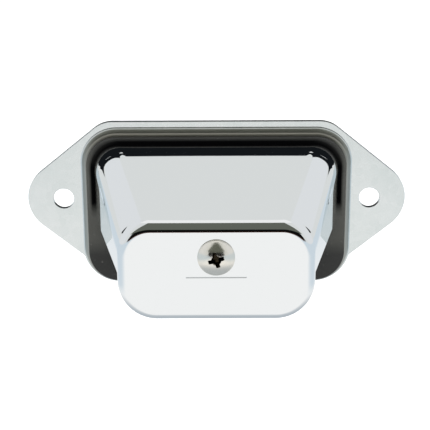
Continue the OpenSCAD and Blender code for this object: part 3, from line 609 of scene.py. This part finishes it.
hood = {"thick": 0.9, "front": 34, "rootWidth": 75.2, "rootTop": 18.8, "sideDraft": 19.2,
        "collarDraft": 15, "collarHeight": 4.4, "collarBlend": 0.5, "slope": 33.8,
        "foldRadius": 4.9, "sideRadius": 3, "lowRadius": 2.2, "low": 27.2, "rootCorner": 8.5,
        "frontCorner": 10, "lowCorner": 11.6, "cutRoot": 3.7, "cutFront": 13, "lip": 2.6,
        "lineWidth": 17.4, "lineLow": 13.6, "lineThick": 0.34, "lineDepth": 0.1,
        "holeWidth": 5.2, "edge": 0.16}


# Half width, top and bottom of the hood at depth f, moved in by the sheet's thickness for the
# inner face. The top is a short collar and then the slope: the lower of two lines, blended by
# the smooth minimum of both.
def hoodShape(f, shrink):
    front = hood["front"] - shrink
    collarEnd = seat + hood["collarHeight"]
    collarTop = hood["rootTop"] - hood["collarHeight"] * math.tan(rad(hood["collarDraft"]))
    first = hood["rootTop"] - (f - seat) * math.tan(rad(hood["collarDraft"]))
    second = drawnWall(f, collarEnd, collarTop, front, hood["foldRadius"] - shrink,
                       hood["slope"])
    k = hood["collarBlend"]
    low = -k * np.logaddexp(-first / k, -second / k)
    near = np.exp(-np.abs(f - collarEnd) / 3)
    top = np.where(f < collarEnd + 8, low * near + np.minimum(first, second) * (1 - near),
                   second) - shrink
    side = drawnWall(f, seat, hood["rootWidth"] / 2 - shrink, front,
                     hood["sideRadius"] - shrink, hood["sideDraft"])
    bottom = -drawnWall(f, seat, hood["low"] - shrink, front, hood["lowRadius"] - shrink, 0)
    return side, top, bottom


# Rings of the hood at the given depths. The corner radius and the height of the slanted cut
# change evenly on the way forward.
def hoodRings(f, shrink):
    side, top, bottom = hoodShape(f, shrink)
    lipDepth = hood["front"] - hood["lip"]
    atLip = hoodShape(np.array([lipDepth]), shrink)[0]
    inset = atLip - np.minimum(side, atLip)
    corner = hood["rootCorner"] + (hood["frontCorner"] - hood["rootCorner"]) \
        * (f - seat) / (hood["front"] - seat)
    cut = -hood["cutRoot"] - (hood["cutFront"] - hood["cutRoot"]) * share(f, seat, lipDepth)
    x, z = roundedFrame(side, top, bottom, corner - shrink - inset,
                        hood["lowCorner"] - shrink - inset, cut)
    return place(x, f[:, None], z)


# Outer and inner rings, open below as far as the lip and closed round it, with the cut edges,
# the flat front, the screw's hole and the pressed line: a groove with half-round ends.
def makeHood():
    lipDepth, front = hood["front"] - hood["lip"], hood["front"]
    back = front - hood["thick"]
    collarEnd = seat + hood["collarHeight"]
    straight = np.concatenate([np.linspace(seat, collarEnd - 1.2, 4), np.linspace(
        collarEnd - 1, collarEnd + 1, 13), np.linspace(collarEnd + 1.5, lipDepth, 16)])
    arc = arcDepths(front, hood["foldRadius"], 26, 28)
    arc = lipDepth + (arc - arc[0]) * (front - lipDepth) / (front - arc[0])
    f = np.concatenate([straight, arc[1:]])
    inward = np.where(f <= lipDepth, f,
                      lipDepth + (f - lipDepth) * (back - lipDepth) / (front - lipDepth))
    outer, inner = hoodRings(f, 0), hoodRings(inward, hood["thick"])
    lip, upper = len(straight) - 1, upperCount
    around = np.concatenate([np.arange(upper - 1, outer.shape[1]), [0]])
    hole = circle(0, -screw["low"], hood["holeWidth"] / 2)
    half, thick = hood["lineWidth"] / 2, hood["lineThick"] / 2
    a = np.linspace(-rightAngle, rightAngle, 9)
    ends = np.stack([half + thick * np.cos(a), thick * np.sin(a)], 1)
    slot = np.concatenate([ends, -ends]) - [0, hood["lineLow"]]
    groove = np.concatenate([np.stack([half + 0 * a, 0 * a], 1),
                             np.stack([-half + 0 * a, 0 * a], 1)]) - [0, hood["lineLow"]]
    nets = [grid(outer[:lip + 1, :upper]), grid(outer[lip:], True),
            grid(inner[:lip + 1, :upper]), grid(inner[lip:], True)]
    nets += [grid(np.stack([outer[part], inner[part]])) for part in (
        (0, slice(upper)), (slice(lip + 1), 0), (slice(lip + 1), upper - 1), (lip, around))]
    nets += [flatSheet([outer[-1][:, [0, 2]] / mm, hole, slot], front),
             flatSheet([inner[-1][:, [0, 2]] / mm, hole], back),
             tube([hole, hole], (front, back)),
             tube([slot, groove], (front, front - hood["lineDepth"]))]
    makePiece("drawnHood", nets, chrome, ["hood"], sharp=50,
              bevel=hood["edge"])


# Screw

screw = {"low": 7.4, "thread": 4.8, "head": 10.9, "height": 2.8, "rim": 0.5, "length": 9,
         "pitch": 0.8, "threadDepth": 0.42, "recessTurn": 17, "recessSpan": 4.7,
         "recessSlot": 1.1, "recessDepth": 2.0, "coneFrom": 1.495, "coneTo": 0.345,
         "rimRound": 0.2, "rimStep": 0.12, "around": 288, "neckShare": 0.9, "tipShare": 0.85}


# Height of the plain domed head: a sphere's cap on the rim.
def domeHeights(u, v):
    dome = screw["height"] - screw["rim"]
    radius = ((screw["head"] / 2) ** 2 + dome ** 2) / (2 * dome)
    return screw["height"] - radius + np.sqrt(np.maximum(0, radius ** 2 - u ** 2 - v ** 2))


# Head as heights over a round grid: the dome less the cross recess. The recess is the
# deeper of four wings, whose floor rises from the middle outwards and whose walls lean a little,
# and a cone in the middle.
def headHeights(u, v):
    turn = rad(screw["recessTurn"])
    p, q = u * math.cos(turn) + v * math.sin(turn), v * math.cos(turn) - u * math.sin(turn)
    reach, half = screw["recessSpan"] / 2, screw["recessSlot"] / 2
    deep = 0 * u
    for along, across in ((p, q), (q, p)):
        floor = screw["recessDepth"] * share(np.abs(along), reach, reach / 2) ** 0.8
        deep = np.maximum(deep, floor * share(np.abs(across), half + 0.05, half - 0.09))
    cone = screw["recessDepth"] * 1.05 * share(np.hypot(u, v), screw["coneFrom"],
                                               screw["coneTo"])
    return domeHeights(u, v) - np.maximum(deep, cone)


# One surface from the middle of the head to the tip. The thread's depth is a three-cornered
# wave of the way down in pitches less the angle in turns, faded at the neck and the tip.
def makeScrew():
    head, thread, length, around = [screw[k] for k in ("head", "thread", "length", "around")]
    bend, step = screw["rimRound"], screw["rimStep"]
    turn = np.linspace(0, 2 * math.pi, around, endpoint=False)
    r = np.concatenate([np.linspace(0, 2.6, 66), np.linspace(2.66, head / 2 - bend, 18)])
    u, v = r[:, None] * np.cos(turn), r[:, None] * np.sin(turn)
    # edge of the head and underside, as radius and height
    a = np.linspace(0.3, rightAngle, 6)
    rim = [np.concatenate([head / 2 - bend + bend * np.sin(a),
                           [head / 2, head / 2 - step, thread / 2 + 0.25, thread / 2]]),
           np.concatenate([screw["rim"] - step + bend * np.cos(a) - 0.05, [step, 0, 0, -0.2]])]
    rimR, rimH = [np.broadcast_to(v[:, None], (len(v), around)) for v in rim]
    down = np.linspace(-0.9, 0.3 - length, 160)[:, None]
    wave = np.abs(((down / screw["pitch"] - turn / (2 * math.pi)) % 1) * 2 - 1)
    fade = share(down, -0.7, -1.2) * np.maximum(share(down, -length, 0.8 - length), 0.35)
    threadR = thread / 2 - screw["threadDepth"] * (wave * fade + (1 - fade) * screw["neckShare"])
    neck = np.full((1, around), thread / 2 - screw["threadDepth"] * screw["neckShare"])
    allR = np.concatenate([np.hypot(u, v), rimR, neck, threadR, neck * screw["tipShare"], neck * 0])
    allH = np.concatenate([headHeights(u, v), rimH, 0 * neck - 0.5,
                           np.broadcast_to(down, threadR.shape), 0 * neck - length,
                           0 * neck - length])
    points = place(allR * np.cos(turn), hood["front"] + allH,
                   allR * np.sin(turn) - screw["low"])
    piece = makePiece("crossScrew", [grid(points, True)], nickel,
                      ["hood_screw"], sharp=40)
    # how far the recess lies below the dome
    mark(piece, "recess", lambda x, f, z: share(
        hood["front"] + domeHeights(x, z + screw["low"]) - f, 0.12, 0.62)
        * (f > hood["front"]) * (np.hypot(x, z + screw["low"]) < screw["recessSpan"] * 0.6))


# Lens

lens = {"thick": 2, "gap": 0.45, "top": 16.3, "low": 23.4, "draft": 3, "slope": 30, "corner": 8,
        "frontRadius": 4, "ribPitch": 4, "ribHeight": 0.7, "ribFoot": 0.3, "ribFade": 0.4,
        "ease": 1.5, "holeRadius": 2.6, "front": 0.6}


# Rings of the lens cup: the same drawn wall on each side, with its top sloping. The floor has
# light-spreading ribs inside: a three-cornered wave across, faded at both ends.
def lensRings(f, shrink, ribs=False):
    front, r = lensFront - shrink, lens["frontRadius"] - shrink
    w = drawnWall(f, seat, lensHalf - shrink, front, r, lens["draft"])
    top = drawnWall(f, seat, lens["top"] - shrink / math.cos(rad(lens["slope"])), front, r,
                    lens["slope"])
    low = drawnWall(f, seat, lens["low"] - shrink, front, r, lens["draft"])
    corner = lens["corner"] - shrink - np.maximum(0, lensHalf - shrink - w - lens["ease"])
    x, z = roundedFrame(w, top, -low, corner, corner, (top - low) / 2, across=150)
    if ribs:
        wave = share(np.abs((x / lens["ribPitch"] + 0.5) % 1 - 0.5), lens["ribFoot"], 0)
        start, end, way = seat + lens["thick"], lensFront - lens["frontRadius"], lens["ribFade"]
        fade = share(f, start, start + way) * share(f, end, end - way)
        flat = (z < -low[:, None] + 0.01) & (np.abs(x) < lensHalf - lens["corner"])
        z = z + np.where(flat, lens["ribHeight"] * wave * fade[:, None], 0)
    return place(x, f[:, None], z)


# A cup of outer and inner rings, joined at the rim, with a flat front that the screw goes
# through.
def makeLens():
    t, r = lens["thick"], lens["frontRadius"]
    straight = np.concatenate([[seat, seat + 0.3], np.linspace(seat + t, lensFront - r - 0.5, 10)])
    outer = lensRings(np.concatenate([straight, arcDepths(lensFront, r, 20)]), 0)
    inside = np.concatenate([[seat, seat + 0.3], [seat + t], [seat + t + 0.4], np.linspace(
        seat + t + 2, lensFront - r - 0.5, 8), arcDepths(lensFront - t, r - t, 12)])
    inner = lensRings(inside, t, True)
    hole = circle(0, -screw["low"], lens["holeRadius"])
    nets = [grid(outer, True), grid(inner, True), grid(np.stack([outer[0], inner[0]]), True),
            flatSheet([outer[-1][:, [0, 2]] / mm, hole], lensFront),
            flatSheet([inner[-1][:, [0, 2]] / mm, hole], lensFront - t),
            tube([hole, hole], (lensFront, lensFront - t))]
    makePiece("mouldedLens", nets, plastic, ["lens"])


# Coils of the socket and the bulb

coils = {"axis": 15.95, "low": 4, "springStart": -18.915, "springLength": 3.62,
         "springWidth": 7.2, "springWire": 0.6, "springTurns": 5, "endTurn": 0.7,
         "filament": 5.645, "filamentLength": 5.2, "filamentWidth": 0.9, "filamentWire": 0.11,
         "filamentTurns": 21}


# Round wire wound round an axis. At share t of the wire the angle is t times all turns, and the
# rule gives the place along the axis. A point of the wire's section stands off its middle by
# half the wire, outwards by the cosine and along the axis by the sine of its angle.
def coilPoints(width, wire, turns, along, steps, around):
    t = np.linspace(0, 1, turns * steps + 1)[:, None]
    a, b = 2 * math.pi * turns * t, np.linspace(0, 2 * math.pi, around, endpoint=False)
    r = (width - wire) / 2 + wire / 2 * np.cos(b)
    return r * np.cos(a), r * np.sin(a), along(t) + wire / 2 * np.sin(b)


# The wire as a tube with a flat face at each end.
def makeCoil(name, points, material, node):
    ends = [(points[k], np.arange(points.shape[1])[None]) for k in (0, -1)]
    makePiece(name, [grid(points, True)] + ends, material, [node], sharp=60)


# Contact spring: its end turns lie nearly flat, and those between share the rise evenly.
def makeSpring():
    w, turns = coils["springWire"], coils["springTurns"]
    rise, end = coils["springLength"] - w, coils["endTurn"] / coils["springTurns"]
    out, up, along = coilPoints(
        coils["springWidth"], w, turns,
        lambda t: w / 2 + rise * np.interp(t, [0, end, 1 - end, 1], [0, 0.1, 0.9, 1]), 40, 12)
    makeCoil("coiledSpring", place(coils["springStart"] + along, coils["axis"] + out,
                                   -coils["low"] + up), wire,
             "contact_spring")


# Filament: an even helix across the bulb, its place in proportion to the turns.
def makeFilament():
    w, length = coils["filamentWire"], coils["filamentLength"]
    out, up, along = coilPoints(coils["filamentWidth"], w, coils["filamentTurns"],
                                lambda t: w / 2 + (length - w) * t - length / 2, 18, 8)
    makeCoil("coiledFilament", place(coils["filament"] - out, coils["axis"] + up,
                                     -coils["low"] + along), tungsten,
             "filament")


# Places that several pieces share
panBack = pan["height"] - plate["thick"]
seat = pan["height"] + gasket["thick"]                         # hood and lens stand here
lensFront = hood["front"] - hood["thick"] - lens["front"]      # room for the screw's washer
# half the width of the lens at its rim, from the hood's side at the lens's front corner
lensHalf = hood["rootWidth"] / 2 - hood["thick"] - lens["gap"] \
    - (lensFront - lens["frontRadius"] / 2 - seat) * math.tan(rad(hood["sideDraft"])) \
    + (lensFront - seat) * math.tan(rad(lens["draft"]))
# the grommet's flange and the bulb's socket stand clear of the lens's wall
inletX = lensHalf - lens["thick"] - gasket["lip"] - plate["grommetRadius"] - plate["inletGap"]
socketX = lensHalf - lens["thick"] - plate["socketGap"]

makeBasePlate()
print("stage: base plate")
makeGasket()
makeHood()
makeScrew()
print("stage: hood and screw")
makeLens()
for node, material, slot in (
        ("screw_seal", rubber, "black_rubber"), ("hood_bracket", strip, "plain_steel"),
        ("clinch_nut", brass, "brass"), ("rivets", strip, "plain_steel"),
        ("socket_bracket", strip, "plain_steel"), ("socket_shell", brass, "brass"),
        ("contact_carrier", fibre, "brown_fibre"), ("contact_button", brass, "brass"),
        ("rear_insulator", fibre, "brown_fibre"), ("feed_terminal", brass, "brass"),
        ("bulb_glass", glass, "bulb_glass"), ("bulb_base", brass, "brass"),
        ("bulb_insulator", bead, "black_glass"), ("bulb_contact", solder, "solder"),
        ("bulb_stem", glass, "bulb_glass"), ("filament_supports", wire, "spring_steel"),
        ("wire_grommet", rubber, "black_rubber")):
    dressedCopy(node, material)
makeSpring()
makeFilament()
print("stage: inner parts")


# Studio

studio = {"floorDrop": 120, "floorReach": 6000, "elevation": 18, "distance": 370, "turn": 0.25,
          "roll": -0.28, "lens": 98.92, "shiftX": -0.0033, "shiftY": -0.043}

# What the chrome sees: angles round the lamp from the front, elevations, colour, width of the
# upper edge as a share of the lower one, and distance. In front are a lamp's white cloth, a dark
# room that narrows upwards above the white sweep, the camera and the edge of the table, then
# pale walls at the sides and the room behind.
cards = {"clothFront": (-60, 60, 60, 82, "#f6f7f7", 1.0, 1600),
         "roomFront": (-40, 40, 15, 61, "#62665e", 0.4, 1500),
         "cameraFront": (-36, 36, -1.5, 15, "#0c0c0d", 0.9, 1500),
         "tableFront": (-28, 28, -7.5, -1.5, "#654536", 1.0, 1500),
         "lampRight": (50, 104, -1, 66, "#e4e7ea", 1.0, 1600),
         "lampLeft": (-50, -104, -1, 66, "#e4e7ea", 1.0, 1600),
         "roomBack": (106, 254, 15, 67, "#15181b", 1.0, 1600),
         "roomBackHigh": (146, 214, 66, 76, "#15181b", 0.8, 1600),
         "roomBackLow": (140, 220, -4, 15, "#15181b", 1.85, 1600)}

# soft lamps: place and size in metres, and watts
lamps = {"softTop": ((0, -0.5, 1.1), 1.2, 9), "softLeft": ((-1.1, -0.7, 0.5), 0.9, 4),
         "softRight": ((1.1, -0.7, 0.5), 0.9, 4)}


# Band of a cylinder round the lamp: angle a from the front, height as the reach times the
# tangent of the elevation. It glows plainly and shows in mirrors and glass only.
def bandCard(name, fromTurn, toTurn, fromRise, toRise, colour, narrow, reach):
    up = np.linspace(0, 1, 9)[:, None]
    middle, half = (fromTurn + toTurn) / 2, (toTurn - fromTurn) / 2
    a = np.radians(middle + half * np.linspace(-1, 1, 25) * (1 + (narrow - 1) * up))
    e = np.radians(fromRise + (toRise - fromRise) * up)
    corners, faces = grid(place(reach * np.sin(a), reach * np.cos(a), reach * np.tan(e)))
    mesh = bpy.data.meshes.new(name)
    mesh.from_pydata(corners.tolist(), [], faces.tolist())
    card = bpy.data.objects.new(name, mesh)
    bpy.context.scene.collection.objects.link(card)
    material, tree, spot = startMaterial(name)
    mesh.materials.append(endMaterial(material, add(tree, "Emission", {
        "Color": linear(colour), "Strength": 1.0})))
    card.visible_camera = False
    card.visible_diffuse = False
    card.visible_shadow = False


# Pale floor, with its own glow for the camera and for reflections so that it stays white.
def makeFloor():
    reach, drop = studio["floorReach"] * mm, -studio["floorDrop"] * mm
    mesh = bpy.data.meshes.new("floor")
    mesh.from_pydata([(-reach, -reach, drop), (reach, -reach, drop), (reach, reach, drop),
                      (-reach, reach, drop)], [], [(0, 1, 2, 3)])
    floor = bpy.data.objects.new("floor", mesh)
    bpy.context.scene.collection.objects.link(floor)
    material, tree, spot = startMaterial("paintedFloor")
    path = add(tree, "LightPath")
    mirrored = add(tree, "Math", {
        0: path.outputs["Is Glossy Ray"], 1: path.outputs["Is Transmission Ray"]},
        operation="MAXIMUM")
    paint = add(tree, "BsdfDiffuse", {"Color": linear("#f2f2f1")})
    glow = add(tree, "Emission", {"Color": linear("#ffffff"), "Strength": 0.45})
    both = add(tree, "AddShader", {0: paint, 1: glow})
    # mirrored, the floor is bluer at the sides, and darker in the shade close to the lamp
    parts = add(tree, "SeparateXYZ", {"Vector": spot})
    aside = add(tree, "Math", {0: parts.outputs["X"]}, operation="ABSOLUTE")
    sideShare = add(tree, "MapRange", {"Value": aside, "From Min": 0.1, "From Max": 0.32},
        interpolation_type="SMOOTHSTEP")
    away = add(tree, "VectorMath", {0: spot}, operation="LENGTH")
    nearShare = add(tree, "MapRange", {
        "Value": away.outputs["Value"], "From Min": 0.22, "From Max": 0.13},
        interpolation_type="SMOOTHSTEP")
    tinted = add(tree, "Mix", {"Factor": sideShare, "A": linear("#fbfcfc"), "B": linear("#d3dfe8")},
        data_type="RGBA")
    shaded = add(tree, "Mix", {"Factor": nearShare, "A": tinted.outputs[2], "B": linear("#b9c1c8")},
        data_type="RGBA")
    image = add(tree, "Emission", {"Color": shaded.outputs[2], "Strength": 1.0})
    shown = add(tree, "MixShader", {0: path.outputs["Is Camera Ray"], 1: paint, 2: both})
    mixed = add(tree, "MixShader", {0: mirrored, 1: shown, 2: image})
    # seen from below it is clear, so that the lens and the bulb can be looked at
    under = add(tree, "NewGeometry").outputs["Backfacing"]
    clear = add(tree, "BsdfTransparent")
    mesh.materials.append(endMaterial(material, add(tree, "MixShader", {
        0: under, 1: mixed, 2: clear})))


# World: white for the camera and through glass, pale in mirrors, and a soft light for the rest.
def makeWorld():
    world = bpy.data.worlds.new("studioWorld")
    bpy.context.scene.world = world
    world.use_nodes = True
    tree = world.node_tree
    tree.nodes.clear()
    path = add(tree, "LightPath")
    shown = add(tree, "Math", {
        0: path.outputs["Is Camera Ray"], 1: path.outputs["Is Transmission Ray"]},
        operation="MAXIMUM")
    white = add(tree, "Background", {"Color": linear("#ffffff"), "Strength": 1.0})
    mirrored = add(tree, "Background", {"Color": linear("#e0e3e3"), "Strength": 1.0})
    light = add(tree, "Background", {"Color": linear("#f4f6f8"), "Strength": 0.6})
    first = add(tree, "MixShader", {0: path.outputs["Is Glossy Ray"], 1: light, 2: mirrored})
    second = add(tree, "MixShader", {0: shown, 1: first, 2: white})
    add(tree, "OutputWorld", {"Surface": second})


# Square lamps turned towards the origin, where the object is.
def makeLamps():
    for name, (spotAt, size, watts) in lamps.items():
        lamp = bpy.data.lights.new(name, "AREA")
        lamp.size = size
        lamp.energy = watts
        holder = bpy.data.objects.new(name, lamp)
        holder.location = spotAt
        holder.rotation_euler = (-Vector(spotAt)).to_track_quat("-Z", "Y").to_euler()
        bpy.context.scene.collection.objects.link(holder)
        holder.visible_glossy = False


# The camera stands at its distance along the direction given by the elevation and the turn,
# looks at the origin and is rolled a little.
def makeCamera():
    e, turn = rad(studio["elevation"]), rad(studio["turn"])
    away = Vector((math.sin(turn) * math.cos(e), -math.cos(turn) * math.cos(e), math.sin(e)))
    data = bpy.data.cameras.new("camera")
    data.lens, data.sensor_width = studio["lens"], 36
    data.shift_x, data.shift_y = studio["shiftX"], studio["shiftY"]
    data.clip_start = 0.01
    camera = bpy.data.objects.new("camera", data)
    look = (-away).to_track_quat("-Z", "Y").to_matrix().to_4x4()
    camera.matrix_world = Matrix.Translation(away * studio["distance"] * mm) @ look \
        @ Matrix.Rotation(rad(studio["roll"]), 4, "Z")
    bpy.context.scene.collection.objects.link(camera)
    bpy.context.scene.camera = camera


makeFloor()
for name, sizes in cards.items():
    bandCard(name, *sizes)
makeWorld()
makeLamps()
makeCamera()
bpy.context.scene.view_settings.view_transform = "Standard"
print("stage: studio and camera")
